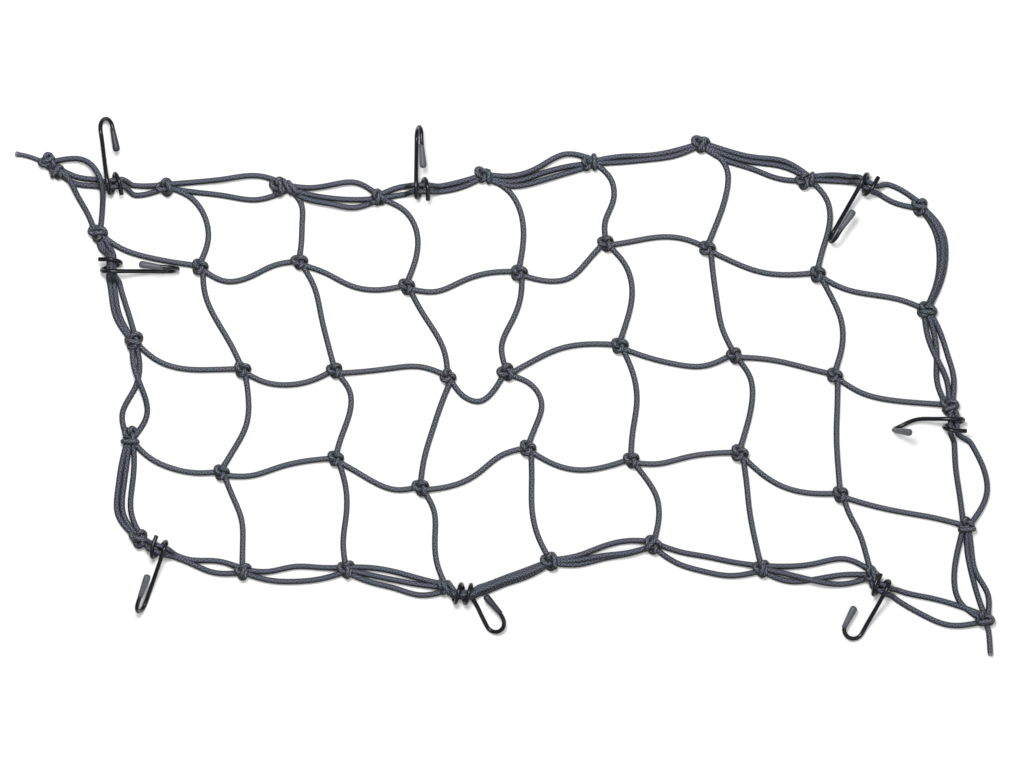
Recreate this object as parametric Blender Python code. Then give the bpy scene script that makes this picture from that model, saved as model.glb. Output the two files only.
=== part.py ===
"""An elastic cargo net laid out on a flat surface: knotted cord with eight wire hooks.

The net is one fused body of cords and ridged knots. Each hook is a wire coiled round the border
cords, run out in a shank and turned back in a bend, with a cap pushed on its free end.
Every length in this file is in millimetres until a mesh is made. Z = 0 is the surface below.
"""
import math

import bmesh
import bpy
from mathutils import Matrix, Vector

METRES = 0.001

# ---------------------------------------------------------------- driving sizes
CORD = 5.0            # thickness of the elastic cord
CORD_SIDES = 5        # a flat side down
PLAIN_STEPS = 5       # sections along a cord between two knots
COILED_STEPS = 11     # the same where a hook's coil lifts the cord

INNER_REACH = 5.8     # from a knot's middle to where its cords leave it
BORDER_REACH = 6.6
RIDGE_HALF_WIDTH = 3.0
RIDGE_FALL = 1.6      # from the top of a ridge to its ends
# Rows over a knot's top, ridges and the grooves between them: (place along the knot, height).
INNER_RIDGES = ((-4.4, 5.6), (-2.3, 8.8), (0, 6.6), (2.3, 8.8), (4.4, 5.6))
BORDER_RIDGES = ((-5.4, 5.8), (-3.6, 9.2), (-1.8, 7.0), (0, 9.6), (1.8, 7.0), (3.6, 9.2), (5.4, 5.8))
WIRE = 3.6            # thickness of the hooks' coated wire
WIRE_SIDES = 6
COIL_RADIUS = 7.2     # from the coil's axis up or down to the middle of the wire
COIL_REACH = 8.3      # the same to each side
COIL_PITCH = 10.5
COIL_STEPS = 12       # sections in a turn
BEND_RADIUS = 8.6
CAP_LENGTH = 17.0
CAP_SIDES = 8
CLEARANCE = 0.3

COIL_HOLD = 9.0       # the coil keeps the cords on its axis this far to each side
COIL_EASE = 26.0      # and they are back on the surface this far from it
KNOT_EASE = 6.0       # a cord is free to rise this far from a knot's middle

# Knots, row by row from the far edge to the near one, each from left to right: (x, y).
KNOTS = (
    ((-396, 195), (-295, 175), (-189, 174), (-110, 165), (-15, 183),
     (79, 196), (175, 211), (266, 182), (364, 158)),
    ((-354, 135), (-265, 105), (-178, 109), (-84, 88), (14, 100),
     (90, 126), (179, 121), (275, 99), (370, 67)),
    ((-323, 41), (-228, 15), (-147, 14), (-48, 9), (3, 13),
     (102, 36), (202, 28), (290, 10), (390, -15)),
    ((-326, -45), (-246, -75), (-146, -63), (-72, -88), (22, -54),
     (112, -64), (207, -58), (295, -94), (405, -122)),
    ((-318, -132), (-228, -161), (-137, -160), (-52, -173), (42, -153),
     (131, -138), (226, -159), (321, -163), (421, -203)),
)

# Inner cords. Each row holds how far the cord bows to the left of its way at a quarter, a half and
# three quarters of it. The columns run towards -Y, the rows towards +X.
COLUMN_BOWS = (
    # first span        second span      third span       last span
    ((17, 19, 13), (-5, -5, -2), (10, 13, 7), (5, 8, 5)),
    ((9, 8, 5), (6, 4, 2), (13, 12, 5), (6, 4, -1)),
    ((22, 22, 12), (2, 5, 6), (0, -2, -3), (7, 3, -1)),
    ((14, 16, 11), (4, -1, -7), (20, 21, 10), (-2, -7, -7)),
    ((13, 12, 2), (15, 15, 8), (9, 10, 4), (10, 13, 9)),
    ((17, 17, 9), (-1, -3, -3), (13, 13, 7), (1, -1, -1)),
    ((14, 12.5, 6), (11, 14, 10), (1, -1, -1), (1, 3, 2)),
)
ROW_BOWS = (
    ((-7, -7, -4), (-14, -11, -2), (-5, -10, -8), (-8, 0, 4),
     (-14, -18, -10), (3, 7, 7), (-7, -10, -7), (-6, -3, 1)),
    ((-12, -13, -7), (-11, -13, -9), (1, 5, 7), (-19, -24, -16),
     (4, 9, 7), (-9, -13, -12), (1, 2, 1), (-9, -9, -5)),
    ((-12, -12, -8), (-6, -2, 1), (-5, -9, -9), (-8, -6, 2),
     (-11, -14, -9), (-5, -1, 1), (-11, -14, -9), (-3, -2, 0)),
)

# Border cords, the outermost first. Each row says how far a cord is to the left of its way at a
# quarter, a half and three quarters of it. Where it lies on others, three more say how high it is
# over the surface there.
BORDER = {
    "far": (
        ((-7, -5, -3), (-13, -11, -11)),
        ((4, 7, 10), (-4, -8, -11)),
        ((2.5, 7.5, 11), (-3.5, -5, -3), (-9, -10.5, -11)),
        ((5.5, 1.5, 1), (-1, -4, -5)),
        ((-1.5, 2.5, 9.5), (-7, -3.5, 0), (-12.5, -10.5, -6)),
        ((2.5, 1, 2), (-3, -4.8, -3.8)),
        ((4, 6, 9.5), (-1.7, 0.5, 4), (-7.5, -7.5, -7.5)),
        ((9, 11, 11), (3.5, 5.5, -2)),
    ),
    "right": (
        ((18.5, 20.5, 14.5), (15, 17, 11, 5.5, 5.5, 5.5), (11.5, 13.5, 7.5)),
        ((8, 10, 10.5), (1.5, -1.5, -6), (-4, -1, 4, 1, 5.6, 1)),
        ((9, 20, 21), (0, -2, -2)),
        ((2.5, 2.5, 7.5), (-3.5, -3.5, -2), (-12, -19, -16.5)),
    ),
    "near": (
        ((-7, -10, -10), (-1.5, -4.5, 1)),
        ((-9, -11, -8), (-1, 3, 2)),
        ((-7.5, -9.5, -12), (-2, -3.8, -4), (5, 5.4, 3)),
        ((-16.5, -12.5, -8.5), (-13.5, -9.5, -5.5, 5.5, 5.5, 5.5), (-10.5, -6.5, -2.5)),
        ((-8, -7, -6), (-2.5, -1, 0), (3, 5, 6)),
        ((-13, -14, -12), (-1, 0, 0)),
        ((-10, -7, -2), (-4, -8.5, -10, 3, 5.6, 0), (3, 7, 12)),
        ((-12, -16, -15), (-4, 0, 1.5)),
    ),
    "left": (
        ((5, 3, 2, 5.5, 2, 0), (25, 27, 18, 7, 14.2, 4.5)),
        ((-3, -6.5, -8), (2, -1, -2.5), (6.5, 6, 4)),
        ((6, 1, -8), (1, 8, 14, 5, 5, 0)),
        ((-11, -16, -18), (-5, -10.5, -12.5), (0.8, -3, -5.5)),
    ),
}

# Free cord ends: the knot's row and column, and how far the end runs from it in x and y.
TAILS = ((0, 0, -31, 8), (4, 8, 5, -33))

# Hooks: border side, span, coil's middle (x, y), heading and lean of the bend in degrees, the end
# of the coil that the shank leaves (1 is to the left of the heading), then from the coil's axis
# to the bend's start, from there back to the cap's end, and how far the end is turned out.
HOOKS = (
    ("far", 0, (-341.5, 177.5), 98, -42, 1, 48.5, 21.5, 0.5),
    ("left", 1, (-342, 105), 0.5, 11, -1, 49.5, 26.5, 2.2),
    ("far", 3, (-70.6, 173), 89.5, -15, 1, 45.0, 27.5, 1.5),
    ("far", 7, (320, 176.5), 241, 13, -1, 49.5, 26.0, 1.5),
    ("right", 2, (394.5, -34), 180, 0, -1, 0, 0, 0),
    ("near", 0, (-300.5, -142), 250, -25, 1, 47.5, 25.0, 0),
    ("near", 3, (-30, -180.6), 298, 80, 1, 34.0, 20.5, -3.6),
    ("near", 7, (333, -176.7), 241, -76, 1, 44.0, 18.0, 0),
)
UNDER_HOOK = 7        # this hook's shank leaves the bottom of its coil, the others' the top
BENT_HOOK = 5         # this hook's bend is sprung open
# Its way past the coil: out along the heading, to the left of it, and up.
BENT_WAY = ((9, 0, 15.2), (20, 0, 11), (31, 0.5, 6.4), (40, 3.5, 3.2), (47, 7, 2.2),
            (51.5, 9, 4.2), (52, 10, 8.5), (49, 10.5, 14), (45, 11, 19.5), (41, 11.5, 25))


def smooth(x):
    """0 below 0, 1 above 1, and an even rise between."""
    x = max(0.0, min(1.0, x))
    return x * x * (3 - 2 * x)


def spline(values, t):
    """The smooth curve through evenly spaced values, at t from 0 to 1."""
    spans = len(values) - 1
    i = min(int(t * spans), spans - 1)
    u = t * spans - i
    a, b = values[i], values[i + 1]
    before = values[i - 1] if i > 0 else 2 * a - b
    after = values[i + 2] if i + 2 <= spans else 2 * b - a
    bend = (a - b) * 3 - before + after
    lean = before * 2 - a * 5 + b * 4 - after
    return a + (b - before) * (0.5 * u) + lean * (0.5 * u ** 2) + bend * (0.5 * u ** 3)


# ---------------------------------------------------------------- meshes
def ring(centre, across, up, radius, sides):
    """The corners of one section, with a flat side facing away from up."""
    corners = []
    for k in range(sides):
        angle = -math.pi / 2 + (k + 0.5) * 2 * math.pi / sides
        corners.append(centre + across * (radius * math.cos(angle)) + up * (radius * math.sin(angle)))
    return corners


def skin(mesh, rings):
    """A closed tube through rings of equally many corners."""
    rows = [[mesh.verts.new(corner) for corner in corners] for corners in rings]
    sides = len(rows[0])
    for a, b in zip(rows, rows[1:]):
        for k in range(sides):
            n = (k + 1) % sides
            mesh.faces.new((a[k], a[n], b[n], b[k]))
    mesh.faces.new(list(reversed(rows[0])))
    mesh.faces.new(rows[-1])


def finish(name, mesh, material):
    """A scene object, in metres, from a mesh in millimetres."""
    bmesh.ops.recalc_face_normals(mesh, faces=mesh.faces)
    mesh.transform(Matrix.Scale(METRES, 4))
    data = bpy.data.meshes.new(name)
    mesh.to_mesh(data)
    mesh.free()
    data.materials.append(material)
    data.shade_smooth()
    data.set_sharp_from_angle(angle=math.radians(50))
    thing = bpy.data.objects.new(name, data)
    bpy.context.scene.collection.objects.link(thing)
    return thing


def make_material(name, colour, roughness):
    material = bpy.data.materials.new(name)
    material.use_nodes = True
    shader = material.node_tree.nodes["Principled BSDF"]
    shader.inputs["Base Color"].default_value = (*colour, 1)
    shader.inputs["Roughness"].default_value = roughness
    return material


# ---------------------------------------------------------------- cords
CORD_RADIUS = CORD / 2 / math.cos(math.pi / 10)             # a five-sided section as wide as the cord
CORD_HEIGHT = CORD_RADIUS * math.cos(math.pi / CORD_SIDES)  # of its middle over its flat side
WIRE_TRIM = 0.96      # takes the six-sided wire's corners in towards the round wire's surface
WIRE_RADIUS = WIRE / 2 / math.cos(math.pi / WIRE_SIDES) * WIRE_TRIM
WIRE_FLAT = WIRE_RADIUS * math.cos(math.pi / WIRE_SIDES)
COIL_MIDDLE = COIL_RADIUS + WIRE_FLAT

# Where the cords lie in a coil, (along the shank's heading, up) from its axis,
# and how much thinner it squeezes them.
PAIR_SEATS = ((-3.5, 0), (3.5, 0))
TRIO_SEATS = ((-2.3, -1.3), (0, 2.6), (2.3, -1.3))
PAIR_SQUEEZE = 0.11
TRIO_SQUEEZE = 0.21


class Coil:
    """Where a hook's coil holds the border cords."""

    def __init__(self, place, heading):
        turn = math.radians(heading)
        self.out = Vector((math.cos(turn), math.sin(turn), 0))
        self.left = Vector((-math.sin(turn), math.cos(turn), 0))
        self.middle = Vector((*place, COIL_MIDDLE))

    def pull(self, point, from_knot):
        """1 where the coil holds a cord, falling to 0 away from it and at the knots."""
        along = abs((point - self.middle).dot(self.left))
        return smooth((COIL_EASE - along) / (COIL_EASE - COIL_HOLD)) * smooth(from_knot / KNOT_EASE)

    def place(self, point, seat):
        """The point of the coil's axis beside a cord's point, moved to the cord's seat."""
        along = (point - self.middle).dot(self.left)
        return self.middle + self.left * along + self.out * seat[0] + Vector((0, 0, seat[1]))


def knot_point(row, column):
    return Vector((*KNOTS[row][column], CORD_HEIGHT))


class Cord:
    """A cord between two knots, or from a knot to a free end."""

    def __init__(self, start, end, bows, free_end=None):
        self.knots = (start, end)
        self.coil, self.seat, self.squeeze = None, (0, 0), 0
        first, last = knot_point(*start), free_end or knot_point(*end)
        line = last - first
        left = Vector((-line.y, line.x, 0)).normalized()
        heights = bows[3:] or (0, 0, 0)
        middles = [first + line * (k + 1) / 4 + left * bows[k] + Vector((0, 0, heights[k])) for k in range(3)]
        self.points = [first, *middles, last]

    def heading(self, which):
        """The way the cord leaves its first or last knot, as an angle."""
        away = self.points[1] - self.points[0] if which == 0 else self.points[3] - self.points[4]
        return math.atan2(away.y, away.x)

    def at(self, t):
        """The cord's place and its thickness factor, t from 0 to 1."""
        point = spline(self.points, t)
        point.z = max(point.z, CORD_HEIGHT)
        if self.coil is None:
            return point, 1
        from_knot = min((point - self.points[0]).length, (point - self.points[4]).length)
        pull = self.coil.pull(point, from_knot)
        return point.lerp(self.coil.place(point, self.seat), pull), 1 - self.squeeze * pull


def all_cords():
    coils = {(side, span): Coil(place, heading) for side, span, place, heading, *shape in HOOKS}
    cords = []
    for side, spans in BORDER.items():
        for i, rows in enumerate(spans):
            along, fixed = (i, {"far": 0, "near": 4}.get(side)), {"left": 0, "right": 8}.get(side)
            start = (along[1], i) if fixed is None else (i, fixed)
            end = (along[1], i + 1) if fixed is None else (i + 1, fixed)
            span = [Cord(start, end, row) for row in rows]
            coil = coils.get((side, i))
            if coil:
                span.sort(key=lambda cord: cord.at(0.5)[0].dot(coil.out))
                seats, squeeze = (PAIR_SEATS, PAIR_SQUEEZE) if len(span) == 2 else (TRIO_SEATS, TRIO_SQUEEZE)
                for cord, seat in zip(span, seats):
                    cord.coil, cord.seat, cord.squeeze = coil, seat, squeeze
            cords += span
    for c, bows in enumerate(COLUMN_BOWS, start=1):
        cords += [Cord((r, c), (r + 1, c), bows[r]) for r in range(4)]
    for r, bows in enumerate(ROW_BOWS, start=1):
        cords += [Cord((r, c), (r, c + 1), bows[c]) for c in range(8)]
    for row, column, run_x, run_y in TAILS:
        free_end = knot_point(row, column) + Vector((run_x, run_y, 0))
        cords.append(Cord((row, column), None, (0.5, 1, 0.5), free_end))
    return cords


# ---------------------------------------------------------------- knots
class Knot:
    """A lump of wound cord with ridges over its top and a socket in its side for each cord."""

    def __init__(self, mesh, row, column, cords):
        self.mesh = mesh
        self.inner = 0 < row < 4 and 0 < column < 8
        self.reach = INNER_REACH if self.inner else BORDER_REACH
        self.middle = knot_point(row, column)
        ends = [(cord, which) for cord in cords for which in (0, 1) if cord.knots[which] == (row, column)]
        ends.sort(key=lambda end: end[0].heading(end[1]))
        angles = self.spread([cord.heading(which) for cord, which in ends])
        self.sockets = {}
        for (cord, which), angle in zip(ends, angles):
            out = Vector((math.cos(angle), math.sin(angle), 0))
            port = self.middle + out * self.reach
            cord.points[0 if which == 0 else 4] = port
            corners = ring(port, out.cross(Vector((0, 0, 1))), Vector((0, 0, 1)), CORD_RADIUS, CORD_SIDES)
            self.sockets[(id(cord), which)] = [mesh.verts.new(corner) for corner in corners]
        if self.inner:
            turn = math.radians(-40 - 12 * ((row + column) % 3))
        else:
            turn = border_turn(row, column)
        self.close(list(self.sockets.values()), turn)

    def spread(self, angles):
        """The angles, moved apart until every cord has room."""
        room = 2 * math.atan2(CORD / 2 + 0.15, self.reach)
        count = len(angles)
        gaps = [(angles[(k + 1) % count] - angles[k]) % (2 * math.pi) for k in range(count)]
        for _ in range(400):
            for k in range(count):
                short = max(0, room - gaps[k])
                gaps[k] += short
                gaps[k - 1] -= short / 2
                gaps[(k + 1) % count] -= short / 2
        turned = [sum(gaps[:k]) for k in range(count)]
        shift = sum(angle - turn for angle, turn in zip(angles, turned)) / count
        return [turn + shift for turn in turned]

    def close(self, rings, turn):
        """The base, the walls between the sockets and the ridged top."""
        base, rim = [], []
        for k, corners in enumerate(rings):
            following = rings[(k + 1) % len(rings)]
            # the corners run from the base at one side, over the top, to the base at the other
            right_low, right, top, left, left_low = corners
            base += [right_low, left_low]
            rim += [right, top, left]
            self.mesh.faces.new((left_low, following[0], following[1], left))
        self.mesh.faces.new(base)
        self.zip(rim, self.ridges(turn))

    def ridges(self, turn):
        """The corners round the edge of a ridged patch over the knot."""
        way = Vector((math.cos(turn), math.sin(turn), 0))
        across = Vector((-math.sin(turn), math.cos(turn), 0))
        rows = []
        for along, height in INNER_RIDGES if self.inner else BORDER_RIDGES:
            row = []
            for side in (-1, 0, 1):
                corner = self.middle + way * along + across * (RIDGE_HALF_WIDTH * side)
                corner.z = height - (RIDGE_FALL if side else 0)
                row.append(self.mesh.verts.new(corner))
            rows.append(row)
        for a, b in zip(rows, rows[1:]):
            for k in range(2):
                self.mesh.faces.new((a[k], a[k + 1], b[k + 1], b[k]))
        return [row[0] for row in rows] + [rows[-1][1]] + [row[2] for row in reversed(rows)] + [rows[0][1]]

    def angle(self, corner):
        away = corner.co - self.middle
        return math.atan2(away.y, away.x) % (2 * math.pi)

    def zip(self, outer, inner):
        """Triangles between two loops, each taken round the knot's middle."""
        outer = sorted(outer, key=self.angle)
        inner = sorted(inner, key=self.angle)
        i = j = 0
        while i < len(outer) or j < len(inner):
            a, b = outer[i % len(outer)], inner[j % len(inner)]
            next_a, next_b = outer[(i + 1) % len(outer)], inner[(j + 1) % len(inner)]
            turn_a = self.angle(next_a) + (2 * math.pi if i + 1 >= len(outer) else 0)
            turn_b = self.angle(next_b) + (2 * math.pi if j + 1 >= len(inner) else 0)
            if j >= len(inner) or (i < len(outer) and turn_a <= turn_b):
                self.mesh.faces.new((a, next_a, b))
                i += 1
            else:
                self.mesh.faces.new((a, next_b, b))
                j += 1


def border_turn(row, column):
    """The way the border runs through a knot, as an angle."""
    if column in (0, 8):
        before, after = (max(row - 1, 0), column), (min(row + 1, 4), column)
    else:
        before, after = (row, column - 1), (row, column + 1)
    line = knot_point(*after) - knot_point(*before)
    return math.atan2(line.y, line.x)


def add_cord(mesh, cord, knots):
    """The tube of one cord, from its socket in one knot to its socket in the next or its free end."""
    steps = COILED_STEPS if cord.coil else PLAIN_STEPS
    rows = [knots[cord.knots[0]].sockets[(id(cord), 0)]]
    tied = cord.knots[1] in knots
    for i in range(1, steps if tied else steps + 1):
        t = i / steps
        here, thickness = cord.at(t)
        ahead = (cord.at(min(1, t + 0.01))[0] - cord.at(t - 0.01)[0]).normalized()
        across = ahead.cross(Vector((0, 0, 1))).normalized()
        corners = ring(here, across, across.cross(ahead), CORD_RADIUS * thickness, CORD_SIDES)
        rows.append([mesh.verts.new(corner) for corner in corners])
    if tied:
        rows.append(list(reversed(knots[cord.knots[1]].sockets[(id(cord), 1)])))
    else:
        mesh.faces.new(rows[-1])
    for a, b in zip(rows, rows[1:]):
        for k in range(CORD_SIDES):
            n = (k + 1) % CORD_SIDES
            mesh.faces.new((a[k], a[n], b[n], b[k]))


def make_net():
    mesh = bmesh.new()
    cords = all_cords()
    knots = {(row, column): Knot(mesh, row, column, cords) for row in range(5) for column in range(9)}
    for cord in cords:
        add_cord(mesh, cord, knots)
    return finish("net", mesh, make_material("braided_elastic", (0.052, 0.06, 0.078), 0.8))


# ---------------------------------------------------------------- hooks
def hook_way(number, lean, hand, shank, back, turned_out):
    """The wire's middle line in (out, left, up) from the coil's middle, as (point, normal or None)."""
    level = -1 if number == UNDER_HOOK else 1
    side = hand * COIL_PITCH / 2
    end = side - hand * COIL_PITCH
    face = Vector((0, 0, level))
    tail, fall = (COIL_REACH - WIRE, 0.6) if number == UNDER_HOOK else (COIL_REACH + WIRE * 0.6, 2.0)
    way = [(Vector((-tail, end, level * (COIL_RADIUS - fall))), face),
           (Vector((-tail * 0.4, end, level * (COIL_RADIUS - fall * 0.25))), face)]
    for i in range(COIL_STEPS, -1, -1):
        angle = 2 * math.pi * i / COIL_STEPS
        normal = Vector((-math.sin(angle), 0, level * math.cos(angle)))
        shift = side - hand * COIL_PITCH * max(0, i / COIL_STEPS - 0.15) / 0.85
        way.append((Vector((normal.x * COIL_REACH, shift, normal.z * COIL_RADIUS)), normal))
    floor = -COIL_MIDDLE
    if number == BENT_HOOK:
        way += [(Vector((out, side + left, up + floor)), None) for out, left, up in BENT_WAY]
        return way
    low = -COIL_RADIUS
    tilt = math.radians(lean)
    rise = Vector((0, math.sin(tilt), math.cos(tilt)))
    ahead = Vector((1, 0, 0))
    base = Vector((0, side, low))
    drop = (0.82, 0.27) if level == 1 else (0, 0)
    for out, high in zip((shank * 0.25, shank * 0.68), drop):
        way.append((base + ahead * out + Vector((0, 0, 2 * COIL_RADIUS * high)), None))
    for i in range(9):
        angle = math.pi * i / 8
        way.append((base + ahead * (shank + BEND_RADIUS * math.sin(angle))
                    + rise * (BEND_RADIUS * (1 - math.cos(angle))), None))
    turn_out = Vector((0, math.copysign(turned_out, lean * turned_out), 0))
    way.append((base + ahead * (shank - back + CAP_END) + rise * (2 * BEND_RADIUS) + turn_out, None))
    return way


def sections_along(way):
    """(place, direction, normal) at each point, the normal carried on without twist past the coil."""
    points = [point for point, normal in way]
    found = []
    normal = way[0][1]
    for i, (point, given) in enumerate(way):
        ahead = points[min(i + 1, len(points) - 1)] - points[max(i - 1, 0)]
        ahead.normalize()
        if given is not None:
            normal = given
        normal = (normal - ahead * normal.dot(ahead)).normalized()
        found.append((point, ahead, normal))
    return found


def make_hook(number, place, heading, shape, metal, plastic):
    coil = Coil(place, heading)
    sections = sections_along(hook_way(number, *shape))

    def to_world(vector):
        return coil.out * vector.x + coil.left * vector.y + Vector((0, 0, vector.z))

    mesh = bmesh.new()
    rings = []
    for point, ahead, normal in sections:
        across = ahead.cross(normal)
        rings.append(ring(coil.middle + to_world(point), to_world(across), to_world(-normal),
                          WIRE_RADIUS, WIRE_SIDES))
    skin(mesh, rings)
    finish(f"hook_{number}", mesh, metal)

    end, ahead, normal = sections[-1]
    end = coil.middle + to_world(end)
    make_cap(f"hook_{number}_cap", end, to_world(ahead), to_world(normal), plastic)


# A cap's profile from its mouth, round its end: (how far past the wire's end, radius).
CAP_END = 4.0
CAP_OUTSIDE = ((CAP_END - CAP_LENGTH, 2.9), (-3.0, 3.1), (1.6, 3.25), (3.3, 2.7), (CAP_END, 1.6))
BORE_RADIUS = (WIRE_RADIUS + CLEARANCE) / math.cos(math.pi / CAP_SIDES)


def make_cap(name, end, ahead, normal, plastic):
    """A closed end with a blind bore, pushed over the wire."""
    across = ahead.cross(normal)
    inside = ((CLEARANCE, BORE_RADIUS), (CAP_END - CAP_LENGTH, BORE_RADIUS))
    mesh = bmesh.new()
    rings = [ring(end + ahead * along, across, -normal, radius, CAP_SIDES)
             for along, radius in inside + CAP_OUTSIDE]
    skin(mesh, rings)
    finish(name, mesh, plastic)


def centre_all():
    """Moves every body so that the middle of the whole net's base is the origin."""
    corners = [corner.co for thing in bpy.data.objects for corner in thing.data.vertices]
    low = [min(corner[axis] for corner in corners) for axis in range(3)]
    high = [max(corner[axis] for corner in corners) for axis in range(3)]
    middle = Vector(((low[0] + high[0]) / 2, (low[1] + high[1]) / 2, low[2]))
    for thing in bpy.data.objects:
        thing.data.transform(Matrix.Translation(-middle))


def main():
    for thing in list(bpy.data.objects):
        bpy.data.objects.remove(thing)
    make_net()
    metal = make_material("coated_wire", (0.01, 0.011, 0.014), 0.3)
    plastic = make_material("cap_plastic", (0.035, 0.04, 0.05), 0.6)
    for number, (side, span, place, heading, *shape) in enumerate(HOOKS, start=1):
        make_hook(number, place, heading, shape, metal, plastic)
    centre_all()


main()
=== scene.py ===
"""The look of an elastic cargo net: braided cords, wound knots, wire hooks and their caps.

Lengths are in millimetres until a mesh is made. Z = 0 is the surface below the net.
"""
import math
from collections import namedtuple

import bpy
import numpy as np
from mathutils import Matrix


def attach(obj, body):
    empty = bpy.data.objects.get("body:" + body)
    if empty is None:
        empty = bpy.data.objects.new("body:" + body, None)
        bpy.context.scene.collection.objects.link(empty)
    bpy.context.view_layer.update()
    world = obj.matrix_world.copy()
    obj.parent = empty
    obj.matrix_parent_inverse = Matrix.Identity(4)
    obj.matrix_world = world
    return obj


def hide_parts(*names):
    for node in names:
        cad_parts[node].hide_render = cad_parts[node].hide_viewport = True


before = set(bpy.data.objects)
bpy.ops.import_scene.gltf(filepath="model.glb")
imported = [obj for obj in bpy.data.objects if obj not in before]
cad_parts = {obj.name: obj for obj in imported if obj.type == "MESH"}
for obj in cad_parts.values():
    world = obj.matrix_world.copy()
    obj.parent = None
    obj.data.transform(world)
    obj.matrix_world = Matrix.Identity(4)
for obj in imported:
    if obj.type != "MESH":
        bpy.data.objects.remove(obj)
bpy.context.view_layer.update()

METRES = 0.001
UP = np.array((0, 0, 1.0))
# Where the middle of the whole net's base lies among the places below.
ORIGIN = np.array((0.3577, -0.1121, 0.0))

# ---------------------------------------------------------------- sizes
CURVE_POINTS = 24     # worked out between two given points of a smooth curve

CORD_RADIUS = 2.5
CORD_SIDES = 16
CORD_STEP = 1.1       # between two rings of a cord's mesh
CORD_RISE = 1.3       # from a cord on the surface up to its end in a knot
BOW_KEPT = 0.35       # share of its own bow with which a border cord enters a knot
BOW_KEPT_MOST = 2.6   # and the most that it may be

KNOT_CORD = 2.25      # radius of a cord drawn tight in a knot
KNOT_SIDES = 14
KNOT_HEIGHT = 5.0     # middle of a knot's cord over the surface
KNOT_RISE = 2.4       # how far that cord goes up and down over its crossings
LOBE_POINTS = 96
LOBE_REACH = 1.07 / 3  # makes a trefoil 3 wide one as wide as its table says, and a little more
WRAP_POINTS = 64
WRAP_HEIGHT = 5.6
WRAP_HALF_HEIGHT = 3.1
WRAP_POWER = 0.8      # 1 would make a turn round, and less makes it squarer

TIP_LENGTH = 2.6      # melted end of a cord
TIP_ROUND = 0.9       # length of its rounding
TIP_PROUD = 0.05      # how far it stands out from the sleeve
TIP_WIDENS = (5, 1)   # from the cord's end: where it starts to widen to its tip, and where it ends

WIRE_RADIUS = 1.92
WIRE_SIDES = 14
WIRE_STEP = 0.7
COIL_POINTS = 12      # given for each turn
COIL_RADIUS = 7.2     # from the coil's axis up or down to the middle of the wire
COIL_REACH = 8.3      # the same to each side
COIL_PITCH = 10.5     # between the wire's ends, along the axis
COIL_MIDDLE = 9.2     # height of the axis
COIL_LEVEL = 0.15     # share of the coil, next to the shank, that stays in one plane
COIL_HOLD = 6.0       # cords lie in their seats up to here from the coil's middle
COIL_EASE = 16.0      # and are free of it from here on
KNOT_EASE = 6.0       # a coil lets go of a cord over this distance from a knot
# A wire's loose end: how far it is to the coil's side, and how far under its top.
WIRE_TAIL = (COIL_REACH + 2.4, 2.2)
# How a shank comes down from its coil's top: shares of its length and of the coil's height.
SHANK_DROP = ((0.25, 0.82), (0.68, 0.27), (0.88, 0.06))
BEND_RADIUS = 8.6
BEND_POINTS = 8
CAP_SIDES = 20
CAP_END = 4.0         # from the wire's end to the cap's
# A cap's outline: how far past the wire's end, and its radius there.
CAP_PROFILE = ((-17.0, 1.8), (-16.9, 2.25), (-13, 2.45), (-8, 2.7), (-3, 3.05), (0.5, 3.2),
               (2.2, 3.05), (3.3, 2.5), (3.9, 1.5), (4.05, 0.3))

YARNS = 6             # of the braid, each way round the sleeve
YARN_PITCH = 2.7      # along the cord, from one crossing to the next
YARN_SWAP = 0.35      # how far a yarn dips where it goes under another
YARN_DEPTH = 0.35     # of the furrows
FURROW_PAINTED_SHADE = (2.0, -0.38)  # painted shade in the braid's furrows: the braid's height times the first, plus the second
PAINTED_LIGHT_FACES = (0.2, 0.32, 0.93)  # the way a surface faces where painted light makes it lightest, towards the light
PAINTED_LIGHT_FROM, PAINTED_LIGHT_TO = (0.42, 1.0), (0.06, 1.12)  # how well a surface faces that way, and the painted light and shade that it gets there
PATCHES = 45          # of colour in a metre of cord
PATCH_EDGES = (0.38, 0.62)

# Knots, row by row from the far edge to the near one, each from left to right: (x, y).
KNOTS = (
    ((-396, 195), (-295, 175), (-189, 174), (-110, 165), (-17, 184),
     (79, 196), (173, 212), (266, 182), (364, 158)),
    ((-354, 135), (-265, 105), (-178, 109), (-84, 88), (14, 100),
     (90, 126), (179, 121), (275, 99), (370, 67)),
    ((-323, 41), (-228, 15), (-147, 14), (-48, 9), (3, 13),
     (102, 36), (202, 28), (290, 10), (390, -16)),
    ((-326, -45), (-246, -75), (-146, -63), (-72, -88), (22, -54),
     (112, -64), (207, -58), (295, -94), (405, -122)),
    ((-318, -132), (-228, -161), (-137, -160), (-49, -176), (42, -153),
     (131, -138), (226, -159), (322, -164), (421, -203)),
)
LAST_ROW = len(KNOTS) - 1
LAST_COLUMN = len(KNOTS[0]) - 1

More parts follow.
